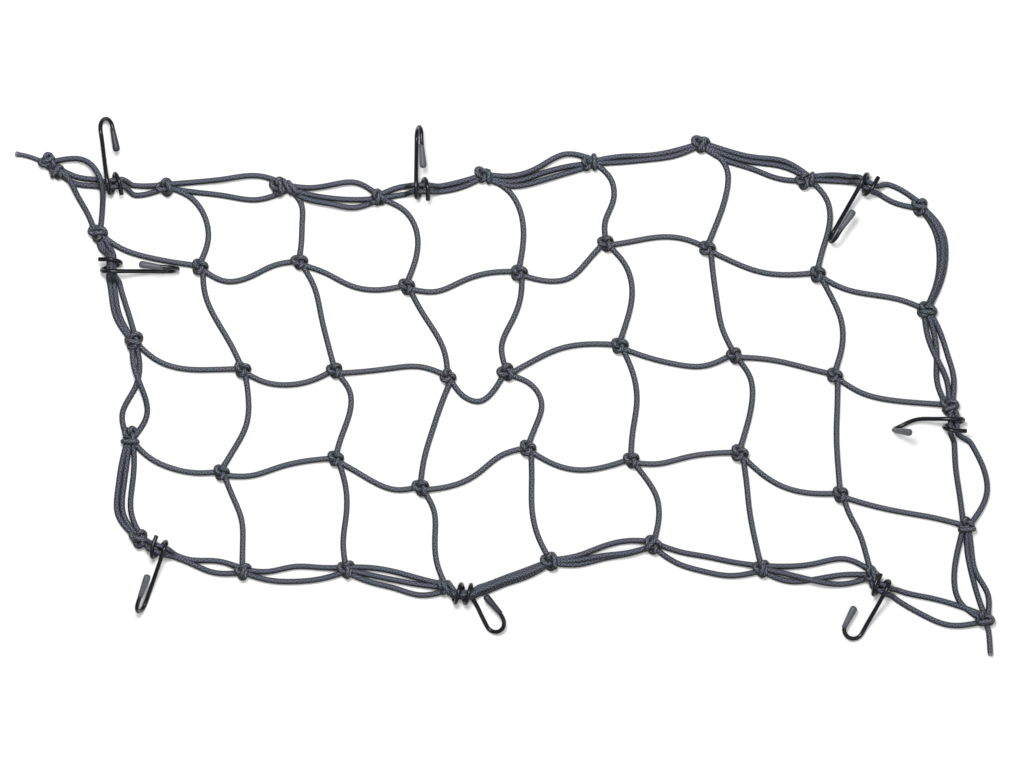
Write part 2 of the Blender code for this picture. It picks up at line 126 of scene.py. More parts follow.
# Inner cords: how far the cord bows to the left of its way at a quarter, a half and three
# quarters of it. The columns run towards -Y, the rows towards +X.
COLUMN_BOWS = (
    ((17, 21, 16), (-5, -4.5, -1), (10, 13, 7), (5, 8.5, 5)),
    ((10, 8, 4.5), (5.5, 3.5, 1.5), (13, 12, 5), (6, 4.5, -0.5)),
    ((20, 23, 15), (2, 5, 6), (0, -2, -3), (6, 1, -3)),
    ((17, 19, 12), (4, -1, -7), (18, 22, 12), (-2, -7, -7)),
    ((13, 12, 2), (14.5, 17, 10), (9, 10, 4), (8.5, 13.5, 10)),
    ((21, 19, 10), (-1, -3.5, -4.5), (13, 13, 7), (1, -1, -1)),
    ((15, 15, 7), (8.5, 13.5, 10), (1, -1, -1), (1, 3, 2)),
)
ROW_BOWS = (
    ((-7, -7, -4), (-14, -11, -2), (-4.5, -10.5, -9), (-8, -1.5, 2.5),
     (-15, -19, -10), (2, 7, 7), (-7, -10, -7), (-5.3, -2.8, 1)),
    ((-12, -13, -7), (-11, -13, -9), (0.3, 4.5, 7), (-19, -24, -16),
     (4, 9, 7), (-8.5, -12.5, -12), (1, 2, 1), (-9, -9, -5)),
    ((-10, -12, -8.5), (-6, -1.5, 1), (-5, -9, -9), (-8, -6, 2),
     (-11, -14, -9), (-5, -1, 1), (-9.5, -13, -9), (-3, -2, 0)),
)

# Border cords, the outermost first: how far a cord is to the left of its way at a quarter, a
# half and three quarters of it, and then how high over the surface it lies there.
BORDER = {
    "far": (
        ((-7, -5, -4.5), (-13, -11, -13)),
        ((4, 7, 10, 1, 3, 1), (-5, -8, -11)),
        ((2, 7, 11, 1, 3, 2), (-4, -5, -4, 1, 2, 1), (-8.5, -10, -11, 2, 4, 2)),
        ((5, 0, -1), (-2, -5, -6)),
        ((-3, 1.5, 10, 1, 2, 2), (-8, -4.5, -1), (-12, -10.5, -6.5, 1, 2, 1)),
        ((1, -2, -2), (-4, -5.8, -6.2)),
        ((1.5, 3.5, 8), (-2.5, -1, 3), (-7, -7, -8)),
        ((9, 11, 11), (3.5, 5.5, -2)),
    ),
    "right": (
        ((18, 20, 14), (15, 17, 11, 4.5, 4.5, 4.5), (12, 14.5, 10.5)),
        ((7.1, 8.9, 9.3), (1.6, -1, -5.6, 2, 1, 0), (-4.2, -1.5, 2.8, 1, 4, 1)),
        ((10.5, 20.5, 22), (0, -2, -2)),
        ((0.4, 0.4, 6.8), (-3.3, -3.5, -2), (-12, -19, -19)),
    ),
    "near": (
        ((-6, -7.5, -9.2), (-3, -5, 1.2)),
        ((-8.5, -10, -8), (-1, 3, 2)),
        ((-7, -8.5, -10.5), (-1, -1.5, -1.5), (5.5, 5.5, 3.5)),
        ((-11.5, -9.5, -7.5), (-8.5, -6.5, -4.5, 4.5, 5, 4.5), (-6, -4.5, -2)),
        ((-6.5, -5, -4.6), (-2.8, -2.5, -3.6, 1, 3.5, 4), (1, 5.2, 6.8)),
        ((-11.5, -13.5, -12), (-1.2, -0.4, 0)),
        ((-10, -7, -2), (-4, -8.5, -10, 3, 4.6, 0), (3, 7, 12)),
        ((-12, -16.5, -16.5), (-4.5, -1, 2)),
    ),
    "left": (
        ((5.4, 3.6, 1.7, 4.5, 2, 0), (28, 28.5, 18, 6, 9.5, 3.5)),
        ((-3, -5, -8.5), (0.3, -1.5, -5), (6, 3.7, 3)),
        ((6, 2.3, -7.5), (1, 9.2, 14, 4.6, 4, 0)),
        ((-9.5, -14.8, -16.8), (-5, -10, -12), (1.5, -2.5, -5)),
    ),
}
# A free end of cord: the knot's row and column, its way from the knot, how thick it is there,
# and how thick its melted tip is.
TAILS = (
    (0, 0, ((-9, 2.6), (-17, 5.6), (-30.5, 8.4)), 2.05, 2.5),
    (4, 8, ((3.2, -10), (4.4, -20), (5.2, -32.4)), 2.45, 2.45),
)

# How a cord leaves an inner knot, from the knot's middle, by the side it leaves it on.
LEAVES = {"up": (-0.4, 2.0), "down": (2.5, -3.0), "left": (-1.0, 0.5), "right": (2.0, -2.5)}

# Where cords lie in a hook's coil, (out, up) from its axis, and the share of their radius that
# they lose there: two cords, or three.
COIL_SEATS = {2: (((-2.9, 0), (2.9, 0)), 0.05),
              3: (((-2.3, -1.3), (0, 2.6), (2.3, -1.3)), 0.12)}

# Hooks: the border span that a hook is on, its coil's middle (x, y), heading and lean of the
# bend in degrees, the end of the coil that the shank leaves (1 is to the left of the heading),
# then from the coil's axis to the bend's start, from there back to the cap's end, and how far
# the end is turned out.
Hook = namedtuple("Hook", "side span place heading lean hand shank back turned_out")
HOOKS = (
    Hook("far", 0, (-339.6, 177.2), 98.5, -42, 1, 48.5, 21.5, 0.5),
    Hook("left", 1, (-342, 105.8), 0.3, 11, -1, 49.5, 24.8, 2.2),
    Hook("far", 3, (-70.6, 173), 89.5, -15, 1, 45.0, 27.5, 1.5),
    Hook("far", 7, (317.8, 176.0), 241, 13, -1, 49.8, 24.5, 1.5),
    Hook("right", 2, (393.6, -33.5), 180, 0, -1, 0, 0, 0),
    Hook("near", 0, (-301, -142), 250, -19, 1, 48.5, 25.0, 0),
    Hook("near", 3, (-33.0, -183.8), 296.8, 66, 1, 31.6, 25.0, -4.0),
    Hook("near", 7, (329.4, -175.4), 242, -76, 1, 43.0, 18.0, 0),
)
DARK_CAPS = (1, 7)    # these hooks' caps are nearly black
# This hook's shank leaves the bottom of its coil, the others' the top. The coil has more turns,
# is longer and is turned away from the shank, and it holds the cords a little aside.
UNDER_HOOK = 7
UNDER_TURNS = 2
UNDER_PITCH = 2 * WIRE_RADIUS + 11.5
UNDER_TURN = -30
UNDER_ASIDE = (-3.0, 2.0)
UNDER_TAIL = (4.7, 0.6)
# This hook's bend is sprung open: (out, left) from the coil and height over the surface.
BENT_HOOK = 5
BENT_WAY = ((9, 0, 15.2), (20, 0, 11), (31, 0.5, 6.4), (40, 3.5, 3.4), (47, 7, 2.6),
            (51.5, 9, 4.2), (52, 10, 8.5), (49, 10.5, 14), (45, 11, 19.5), (41, 11.5, 25))

# Each inner knot has three lobes: the way each points, in degrees, and how far out it is.
INNER_KNOTS = (
    (((130, 5.2), (2, 5.3), (235, 5.7)), ((160, 5.7), (17, 5.5), (262, 4.7)),
     ((145, 5.7), (16, 4.8), (267, 5.7)), ((140, 5.2), (7, 5.3), (229, 6.1)),
     ((166, 5.5), (39, 4.6), (276, 6.2)), ((148, 5.8), (5, 4.6), (207, 5.8)),
     ((140, 5.2), (16, 4.8), (248, 6.3))),
    (((128, 5.8), (13, 5.7), (244, 5.2)), ((160, 5.7), (50, 5.2), (270, 4.7)),
     ((103, 5.0), (-15, 5.1), (198, 5.3)), ((180, 6.4), (68, 5.6), (288, 6.2)),
     ((145, 5.7), (14, 5.5), (234, 5.7)), ((172, 4.8), (51, 4.6), (276, 6.0)),
     ((140, 5.2), (-8, 4.8), (220, 5.2))),
    (((135, 5.6), (8, 4.8), (247, 5.1)), ((140, 6.0), (16, 4.8), (236, 4.8)),
     ((153, 5.9), (30, 5.3), (283, 6.1)), ((135, 6.3), (8, 4.8), (225, 5.6)),
     ((150, 5.3), (30, 5.3), (277, 5.3)), ((135, 6.3), (-14, 5.4), (225, 6.2)),
     ((135, 5.6), (34, 4.8), (256, 5.5))),
)
# Each border knot has one or two such lumps, (x, y) from its middle and three lobes, and turns of
# cord round the bundle: place along the border, tilt in degrees, half width and place across.
BORDER_KNOTS = {
    (0, 0): (((-1.5, 1.5, (92, 6.0), (300, 6.0), (187, 6.6)),
              (6.5, -7, (45, 4.4), (285, 5), (165, 5))),
             ((-3, 10, 4.6, 0), (9, -20, 4.4, 0))),
    (0, 1): (((0, 0, (78, 5.2), (284, 7.0), (189, 6.8)),), ((3, -30, 3.6, 0),)),
    (0, 2): (((-7, 0.5, (152, 6.6), (84, 6.6), (260, 6.6)),),
             ((-5.5, -8, 5.4, 0), (0.5, -32, 5.2, 0.5), (5.5, -42, 4.6, 0))),
    (0, 3): (((0, 0, (88, 5.6), (320, 5.8), (215, 5.8)),), ((1, 20, 4.2, -1),)),
    (0, 4): (((-1, 1, (130, 6.2), (20, 5.4), (255, 5.0)),), ((4.2, 8, 4.8, -1.4),)),
    (0, 5): (((-5, -1.5, (120, 4.8), (0, 4.5), (240, 4.6)),), ((0.7, 6, 5.7, 0),)),
    (0, 6): (((-0.5, 0.5, (145, 6.6), (15, 6.2), (275, 6.2)),), ((1, 28, 5.0, -1),)),
    (0, 7): (((-3, -1.5, (60, 4.6), (262, 6.4), (185, 6.2)),), ((4, -8, 4.8, 0),)),
    (0, 8): (((0, 0.5, (150, 5.2), (40, 5.0), (262, 7.4)),), ((1, 15, 4.4, 0),)),
    (1, 8): (((0, 0, (130, 5.8), (-18, 7.2), (205, 6.4)),), ((2, 12, 5.0, 0),)),
    (2, 8): (((0, 0, (145, 6.6), (-8, 6.3), (262, 7.2)),), ((3, -10, 5.2, 0),)),
    (3, 8): (((0, 1.5, (90, 4.6), (340, 5), (200, 5)),), ((3, 5, 6.0, 0),)),
    (4, 0): (((0, 0, (145, 7.4), (54, 5.6), (268, 7.4)),), ((1, 25, 4.8, 0),)),
    (4, 1): (((0, 0, (160, 4.8), (32, 6.4), (273, 6.2)),), ((1, 18, 4.2, -1),)),
    (4, 2): (((0, 0, (147, 6.4), (52, 6.6), (280, 5.6)),), ((1.4, -4, 4.8, -1.4),)),
    (4, 3): (((-2.5, 1, (125, 5.4), (10, 5.0), (250, 5.2)),),
             ((-1, -32, 4.8, 0), (4.5, -32, 4.8, 0))),
    (4, 4): (((-1, 0, (155, 6.6), (75, 6.4), (285, 6.0)),), ((2.8, 6, 5.2, -0.6),)),
    (4, 5): (((0, 0, (123, 6.4), (-20, 6.4), (278, 6.6)),), ((-2, 40, 4.6, 0),)),
    (4, 6): (((0, 0, (158, 6.2), (53, 6.0), (279, 6.0)),), ((0.5, 10, 4.6, -1),)),
    (4, 7): (((0, 0, (95, 5.4), (-25, 6.0), (220, 5.6)),), ((2.5, -25, 5.0, -1.5),)),
    (4, 8): (((0, 0, (110, 5.2), (345, 6.6), (200, 6.2)),), ((2.6, 4, 6.2, 0),)),
    (1, 0): (((0, 0, (172, 6.6), (-15, 6.4), (257, 6.8)),), ((1, 20, 4.2, 0),)),
    (2, 0): (((0, 0, (190, 5.4), (32, 6.5), (245, 7.2)),), ((2, 22, 4.8, 0),)),
    (3, 0): (((0, 1.5, (124, 6.8), (74, 7.0), (225, 5)),), ((3, 2, 6.2, 0),)),
}

CAMERA_AT = (7.875, 2.19, 5287.5)
CAMERA_LENS = 212.5
FLOOR_SIDE = 6        # metres
DAYLIGHT = 0.45
# Lamps: place and sides of the square in metres, and watts.
LAMPS = {"key": ((-0.25, 0.7, 2.0), 0.7, 42), "fill": ((0.7, -0.6, 2.1), 1.4, 12)}


# ---------------------------------------------------------------- curves
def smooth(x):
    """0 below 0, 1 above 1, and an even S between."""
    x = np.clip(x, 0.0, 1.0)
    return x * x * (3 - 2 * x)


def smooth_way(points, step):
    """Points a step apart on the smoothest curve through the given ones."""
    points = np.array(points, float)
    count = len(points)
    along = np.concatenate(([0], np.cumsum(np.linalg.norm(np.diff(points, axis=0), axis=1))))
    gap = np.diff(along)
    system = np.eye(count)
    target = np.zeros((count, 3))
    for i in range(1, count - 1):
        system[i, i - 1:i + 2] = gap[i - 1], 2 * (gap[i - 1] + gap[i]), gap[i]
        target[i] = 6 * ((points[i + 1] - points[i]) / gap[i]
                         - (points[i] - points[i - 1]) / gap[i - 1])
    curl = np.linalg.solve(system, target)
    fine = np.linspace(0, along[-1], CURVE_POINTS * (count - 1) + 1)
    span = np.clip(np.searchsorted(along, fine, side="right") - 1, 0, count - 2)
    left = ((along[span + 1] - fine) / gap[span])[:, None]
    right = 1 - left
    g2 = (gap[span] ** 2)[:, None] / 6
    curve = (left * points[span] + right * points[span + 1]
             + g2 * ((left ** 3 - left) * curl[span] + (right ** 3 - right) * curl[span + 1]))
    return even(curve, step)


def even(curve, step):
    """The same curve with points evenly spaced, about a step apart."""
    along = np.concatenate(([0], np.cumsum(np.linalg.norm(np.diff(curve, axis=0), axis=1))))
    places = np.linspace(0, along[-1], max(2, int(round(along[-1] / step)) + 1))
    return np.stack([np.interp(places, along, curve[:, k]) for k in range(3)], axis=1)


class Skin:
    """Tubes gathered into one mesh, with a map of how far round and along its tube a point is."""

    def __init__(self):
        self.corners, self.faces, self.maps = [], [], []
        self.count = 0

    def tube(self, curve, radius, sides, closed=False):
        """Add a tube round a curve. radius is one number, or one for each point of the curve.

        A closed tube meets itself at its ends. Any other has flat ends.
        """
        count = len(curve)
        radius = np.full(count, float(radius)) if np.isscalar(radius) else np.asarray(radius, float)
        if closed:
            ahead = np.roll(curve, -1, 0) - np.roll(curve, 1, 0)
        else:
            ahead = np.gradient(curve, axis=0)
        ahead /= np.linalg.norm(ahead, axis=1)[:, None]
        side = np.cross(ahead[0], (0, 0, 1.0))
        if np.linalg.norm(side) < 0.2:
            side = np.cross(ahead[0], (0, 1.0, 0))
        sides_at = np.empty_like(curve)
        for i in range(count):
            side = side - ahead[i] * side.dot(ahead[i])
            side /= np.linalg.norm(side)
            sides_at[i] = side
        ups_at = np.cross(sides_at, ahead)
        turn = np.arange(sides) * 2 * math.pi / sides
        if closed:  # each ring is turned a little, so that the last one meets the first
            drift = math.atan2(sides_at[-1].dot(ups_at[0]), sides_at[-1].dot(sides_at[0]))
            turns = turn[None, :] - drift * (np.arange(count) / count)[:, None]
        else:
            turns = np.tile(turn, (count, 1))
        ring = (np.cos(turns)[:, :, None] * sides_at[:, None, :]
                + np.sin(turns)[:, :, None] * ups_at[:, None, :])
        corners = curve[:, None, :] + ring * radius[:, None, None]
        along = np.concatenate(([0], np.cumsum(np.linalg.norm(np.diff(curve, axis=0), axis=1))))
        if closed:
            along = np.append(along, along[-1] + np.linalg.norm(curve[0] - curve[-1]))
        base = self.count
        rows = count if closed else count - 1
        for i in range(rows):
            here, there = base + i * sides, base + ((i + 1) % count) * sides
            for k in range(sides):
                n = (k + 1) % sides
                self.faces.append((here + k, here + n, there + n, there + k))
                a, b = k / sides, (k + 1) / sides
                self.maps += [(a, along[i]), (b, along[i]), (b, along[i + 1]), (a, along[i + 1])]
        if not closed:
            for start, step in ((0, -1), (count - 1, 1)):
                loop = [base + start * sides + k for k in range(sides)][::step]
                self.faces.append(tuple(loop))
                self.maps += [(0.5, along[start])] * sides
        self.corners.append(corners.reshape(-1, 3))
        self.count += count * sides

    def finish(self, name, material, slot, replaced=()):
        """Make the mesh a piece that stands for the replaced nodes, if any."""
        corners = (np.concatenate(self.corners) - ORIGIN) * METRES
        data = bpy.data.meshes.new(name)
        data.from_pydata(corners.tolist(), [], self.faces)
        layer = data.uv_layers.new(name="along")
        layer.data.foreach_set("uv", np.array(self.maps, np.float32).ravel())
        data.materials.append(material)
        data.shade_smooth()
        thing = bpy.data.objects.new(name, data)
        bpy.context.scene.collection.objects.link(thing)
        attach(thing, "root")
        if replaced:
            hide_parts(*replaced)


# ---------------------------------------------------------------- materials
def shader(name, colour, roughness, specular=None):
    """A plain material, and its main node for what is added to it."""
    material = bpy.data.materials.new(name)
    material.use_nodes = True
    principled = material.node_tree.nodes["Principled BSDF"]
    principled.inputs["Base Color"].default_value = (*colour, 1)
    principled.inputs["Roughness"].default_value = roughness
    if specular is not None:
        principled.inputs["Specular IOR Level"].default_value = specular
    return material, principled


class Sums:
    """Short ways to add arithmetic to a shader."""

    def __init__(self, tree):
        self.tree = tree

    def do(self, operation, *values):
        node = self.tree.nodes.new("ShaderNodeMath")
        node.operation = operation
        for socket, value in zip(node.inputs, values):
            if isinstance(value, (int, float)):
                socket.default_value = value
            else:
                self.tree.links.new(value, socket)
        return node.outputs[0]


def braid_height(tree, sums):
    """Two sets of yarns that wind opposite ways round the cord, over and under each other."""
    place = tree.nodes.new("ShaderNodeUVMap")
    place.uv_map = "along"
    split = tree.nodes.new("ShaderNodeSeparateXYZ")
    tree.links.new(place.outputs[0], split.inputs[0])
    round_it = sums.do("MULTIPLY", split.outputs[0], math.pi * YARNS)
    along = sums.do("MULTIPLY", split.outputs[1], math.pi / YARN_PITCH)
    one = sums.do("ABSOLUTE", sums.do("COSINE", sums.do("ADD", round_it, along)))
    other = sums.do("ABSOLUTE", sums.do("COSINE", sums.do("SUBTRACT", round_it, along)))
    swap = sums.do("SINE", along)
    over = sums.do("MULTIPLY_ADD", swap, YARN_SWAP, 1 - YARN_SWAP)
    under = sums.do("MULTIPLY_ADD", swap, -YARN_SWAP, 1 - YARN_SWAP)
    return sums.do("MAXIMUM", sums.do("MULTIPLY", one, over), sums.do("MULTIPLY", other, under))


def patchy(tree, first, second):
    """A colour that drifts between the two given ones."""
    spots = tree.nodes.new("ShaderNodeTexCoord")
    noise = tree.nodes.new("ShaderNodeTexNoise")
    noise.inputs["Scale"].default_value = PATCHES
    noise.inputs["Detail"].default_value = 2
    tree.links.new(spots.outputs["Object"], noise.inputs["Vector"])
    ramp = tree.nodes.new("ShaderNodeValToRGB")
    for stop, position, colour in zip(ramp.color_ramp.elements, PATCH_EDGES, (first, second)):
        stop.position = position
        stop.color = (*colour, 1)
    tree.links.new(noise.outputs["Fac"], ramp.inputs["Fac"])
    return ramp.outputs["Color"]


def painted_light_shade(tree):
    """Painted light and shade: a cord is lightest where it faces the light, and darkens towards its
    sides and most of all underneath.
    """
    facing = tree.nodes.new("ShaderNodeNewGeometry")
    upward = tree.nodes.new("ShaderNodeVectorMath")
    upward.operation = "DOT_PRODUCT"
    upward.inputs[1].default_value = PAINTED_LIGHT_FACES
    tree.links.new(facing.outputs["Normal"], upward.inputs[0])
    lit = tree.nodes.new("ShaderNodeMapRange")
    lit.inputs["From Min"].default_value, lit.inputs["From Max"].default_value = PAINTED_LIGHT_FROM
    lit.inputs["To Min"].default_value, lit.inputs["To Max"].default_value = PAINTED_LIGHT_TO
    tree.links.new(upward.outputs["Value"], lit.inputs["Value"])
    return lit.outputs[0]


def braided(name, colour, first, second):
    """A braided sleeve. colour stands in for it where no pattern is drawn."""
    material, principled = shader(name, colour, 0.55, 0.22)
    principled.inputs["Sheen Weight"].default_value = 0.06
    principled.inputs["Sheen Roughness"].default_value = 0.5
    tree = material.node_tree
    sums = Sums(tree)
    height = braid_height(tree, sums)
    bump = tree.nodes.new("ShaderNodeBump")
    bump.inputs["Strength"].default_value = 0.8
    bump.inputs["Distance"].default_value = YARN_DEPTH * METRES
    tree.links.new(height, bump.inputs["Height"])
    tree.links.new(bump.outputs[0], principled.inputs["Normal"])

    shade = tree.nodes.new("ShaderNodeMix")
    shade.data_type = "RGBA"
    shade.blend_type = "MULTIPLY"
    shade.inputs["Factor"].default_value = 1
    tree.links.new(patchy(tree, first, second), shade.inputs["A"])
    # painted shade: the colour darkens where the cord faces away from the light, and in the braid's
    # furrows
    painted_shade = sums.do("MULTIPLY", painted_light_shade(tree), sums.do("MULTIPLY_ADD", height, *FURROW_PAINTED_SHADE))
    grey = tree.nodes.new("ShaderNodeCombineColor")
    for channel in grey.inputs[:3]:
        tree.links.new(painted_shade, channel)
    tree.links.new(grey.outputs[0], shade.inputs["B"])
    tree.links.new(shade.outputs["Result"], principled.inputs["Base Color"])
    return material


# ---------------------------------------------------------------- cords
class Coil:
    """Where a hook's coil holds the border cords."""

    def __init__(self, place, heading):
        turn = math.radians(heading)
        self.out = np.array((math.cos(turn), math.sin(turn), 0))
        self.left = np.array((-math.sin(turn), math.cos(turn), 0))
        self.middle = np.array((*place, COIL_MIDDLE))


def knot_point(row, column):
    return np.array((*KNOTS[row][column], CORD_RADIUS), float)


class Cord:
    """A cord between two knots."""

    def __init__(self, start, end, bows, starts_at=(0, 0), ends_at=(0, 0)):
        first, last = knot_point(*start), knot_point(*end)
        line = last - first
        left = np.array((-line[1], line[0], 0)) / np.linalg.norm(line)
        heights = bows[3:] or (0, 0, 0)
        middles = [first + line * (k + 1) / 4 + left * bows[k] + UP * heights[k]
                   for k in range(3)]
        rise = UP * CORD_RISE
        self.points = [first + rise + np.array((*starts_at, 0)), *middles,
                       last + rise + np.array((*ends_at, 0))]
        self.coil = None

    def curve(self):
        """The cord's middle line and its radius at each point."""
        curve = smooth_way(self.points, CORD_STEP)
        curve[:, 2] = np.maximum(curve[:, 2], CORD_RADIUS)
        radius = np.full(len(curve), CORD_RADIUS)
        if self.coil:
            coil, seat, squeeze = self.coil
            along = (curve - coil.middle) @ coil.left
            near = np.minimum(np.linalg.norm(curve - self.points[0], axis=1),
                              np.linalg.norm(curve - self.points[-1], axis=1))
            pull = (smooth((COIL_EASE - np.abs(along)) / (COIL_EASE - COIL_HOLD))
                    * smooth(near / KNOT_EASE))
            seats = (coil.middle + along[:, None] * coil.left + coil.out * seat[0]
                     + UP * seat[1])
            curve = curve + (seats - curve) * pull[:, None]
            radius = CORD_RADIUS * (1 - squeeze * pull)
            curve = even(curve, CORD_STEP)
            radius = np.interp(np.linspace(0, 1, len(curve)), np.linspace(0, 1, len(radius)),
                               radius)
        return curve, radius


def border_ends(side, span):
    """The knots at a border span's ends."""
    if side in ("far", "near"):
        row = 0 if side == "far" else LAST_ROW
        return (row, span), (row, span + 1)
    column = 0 if side == "left" else LAST_COLUMN
    return (span, column), (span + 1, column)


def border_cords():
    """All border cords, those that run through a hook's coil drawn together in it."""
    coils = {(hook.side, hook.span): Coil(hook.place, hook.heading) for hook in HOOKS}
    under = HOOKS[UNDER_HOOK - 1]
    aside = (under.place[0] + UNDER_ASIDE[0], under.place[1] + UNDER_ASIDE[1])
    coils[under.side, under.span] = Coil(aside, under.heading + UNDER_TURN)
    cords = []
    for side, spans in BORDER.items():
        for i, rows in enumerate(spans):
            start, end = border_ends(side, i)
            line = knot_point(*end) - knot_point(*start)
            left = np.array((-line[1], line[0])) / np.linalg.norm(line)
            span = []
            for row in rows:
                shifts = [row[k] - sum(other[k] for other in rows) / len(rows) for k in (0, 2)]
                ends = [left * float(np.clip(shift * BOW_KEPT, -BOW_KEPT_MOST, BOW_KEPT_MOST))
                        for shift in shifts]
                span.append(Cord(start, end, row, *ends))
            coil = coils.get((side, i))
            if coil:
                span.sort(key=lambda cord: cord.points[2].dot(coil.out))
                seats, squeeze = COIL_SEATS[len(span)]
                for cord, seat in zip(span, seats):
                    cord.coil = (coil, seat, squeeze)
            cords += span
    return cords


def inner_cords():
    cords = []
    for c, rows in enumerate(COLUMN_BOWS, start=1):
        for r, bows in enumerate(rows):
            starts_at = LEAVES["down"] if r > 0 else (0, 0)
            ends_at = LEAVES["up"] if r + 1 < LAST_ROW else (0, 0)
            cords.append(Cord((r, c), (r + 1, c), bows, starts_at, ends_at))
    for r, rows in enumerate(ROW_BOWS, start=1):
        for c, bows in enumerate(rows):
            starts_at = LEAVES["right"] if c > 0 else (0, 0)
            ends_at = LEAVES["left"] if c + 1 < LAST_COLUMN else (0, 0)
            cords.append(Cord((r, c), (r, c + 1), bows, starts_at, ends_at))
    return cords


def add_cords(name, cords, material, replaced=()):
    skin = Skin()
    for cord in cords:
        curve, radius = cord.curve()
        skin.tube(curve, radius, CORD_SIDES)
    skin.finish(name, material, "braided_elastic", replaced)


# ---------------------------------------------------------------- knots
def lobed(x, y, first, second, third):
    """A cord wound in three lobes, as it lies in a knot drawn tight."""
    t = np.linspace(0, 2 * math.pi, LOBE_POINTS, endpoint=False)
    flat_x = np.sin(t) + 2 * np.sin(2 * t)
    flat_y = np.cos(t) - 2 * np.cos(2 * t)
    angle = np.degrees(np.arctan2(flat_y, flat_x))
    angle = np.where(angle < -90, angle + 360, angle)
    ways = [third[0] - 360, second[0], first[0], third[0]]
    # the third lobe's way stands at both ends, and the other two are brought between them
    while ways[1] < ways[0]:
        ways[1] += 360
    while ways[1] > ways[2]:
        ways[1] -= 360
    even_ways = [-90, 30, 150, 270]
    turned = np.radians(np.interp(angle, even_ways, ways))
    reach = np.interp(angle, even_ways, [third[1], second[1], first[1], third[1]]) * LOBE_REACH
    away = np.hypot(flat_x, flat_y) * reach
    return np.stack([x + away * np.cos(turned), y + away * np.sin(turned),
                     KNOT_HEIGHT - np.sin(3 * t) * KNOT_RISE], axis=1)


def wrap(x, y, way, along, tilt, half_width, across_by):
    """A turn of cord right round a bundle."""
    t = np.linspace(0, 2 * math.pi, WRAP_POINTS, endpoint=False)
    ahead = np.array((math.cos(way), math.sin(way), 0))
    across = np.array((-math.sin(way), math.cos(way), 0))
    flat = np.sign(np.cos(t)) * np.abs(np.cos(t)) ** WRAP_POWER * half_width
    up = np.sign(np.sin(t)) * np.abs(np.sin(t)) ** WRAP_POWER * WRAP_HALF_HEIGHT
    lean = flat * math.tan(math.radians(tilt)) + along
    centre = np.array((x, y, WRAP_HEIGHT)) + across * across_by
    return centre + across * flat[:, None] + ahead * lean[:, None] + UP * up[:, None]


def border_way(row, column):
    """The way the border runs through a knot, as an angle."""
    if column in (0, LAST_COLUMN):
        before, after = (max(row - 1, 0), column), (min(row + 1, LAST_ROW), column)
    else:
        before, after = (row, column - 1), (row, column + 1)
    line = knot_point(*after) - knot_point(*before)
    return math.atan2(line[1], line[0])


def add_inner_knots(material):
    skin = Skin()
    for row, knots in enumerate(INNER_KNOTS, start=1):
        for column, lobes in enumerate(knots, start=1):
            x, y = KNOTS[row][column]
            skin.tube(lobed(x, y, *lobes), KNOT_CORD, KNOT_SIDES, closed=True)
    skin.finish("knots_inner", material, "braided_elastic")


def add_border_knots(material):
    skin = Skin()
    for (row, column), (lumps, wraps) in BORDER_KNOTS.items():
        x, y = KNOTS[row][column]
        for shift_x, shift_y, *lobes in lumps:
            skin.tube(lobed(x + shift_x, y + shift_y, *lobes), KNOT_CORD, KNOT_SIDES, closed=True)
        way = border_way(row, column)
        for turn in wraps:
            skin.tube(wrap(x, y, way, *turn), KNOT_CORD, KNOT_SIDES, closed=True)
    skin.finish("knots_border", material, "braided_elastic")


def add_tails(material, melted):
    skin, tips = Skin(), Skin()
    for row, column, way, thick, tip in TAILS:
        start = knot_point(row, column) + UP
        points = [start] + [start + np.array((x, y, -1.0)) for x, y in way]
        curve = smooth_way(points, CORD_STEP / 2)
        from_end = np.linalg.norm(curve - curve[-1], axis=1)
        far, near = TIP_WIDENS
        radius = thick + (tip - thick) * smooth((far - from_end) / (far - near))
        sleeve = from_end > TIP_LENGTH - 1
        skin.tube(curve[sleeve], radius[sleeve], CORD_SIDES)
        rounded = np.sqrt(np.clip(1 - (1 - from_end / TIP_ROUND).clip(0) ** 2, 0.3, 1))
        last = from_end < TIP_LENGTH
        tips.tube(curve[last], (radius * rounded)[last] + TIP_PROUD, CORD_SIDES)
    tips.finish("cord_tips", melted, "braided_elastic")
    skin.finish("cord_ends", material, "braided_elastic")


# ---------------------------------------------------------------- hooks
def coil_way(under, hand):
    """A coil's middle line, in (out, left, up) from its middle, up to the start of the shank."""
    level = -1 if under else 1
    turns = UNDER_TURNS if under else 1
    side = hand * COIL_PITCH / 2
    end = side - hand * (UNDER_PITCH if under else COIL_PITCH)
    tail, fall = UNDER_TAIL if under else WIRE_TAIL
    way = [np.array((-tail, end, level * (COIL_RADIUS - fall))),
           np.array((-tail * 0.4, end, level * (COIL_RADIUS - fall * 0.25)))]
    for i in range(COIL_POINTS * turns, -1, -1):
        angle = 2 * math.pi * i / COIL_POINTS
        share = max(0, i / turns / COIL_POINTS - COIL_LEVEL) / (1 - COIL_LEVEL)
        way.append(np.array((-math.sin(angle) * COIL_REACH, side + (end - side) * share,
                             level * math.cos(angle) * COIL_RADIUS)))
    if under:
        turn = math.radians(UNDER_TURN)
        way = [np.array((out * math.cos(turn) - (left - side) * math.sin(turn),
                         side + out * math.sin(turn) + (left - side) * math.cos(turn), up))
               for out, left, up in way]
    return way


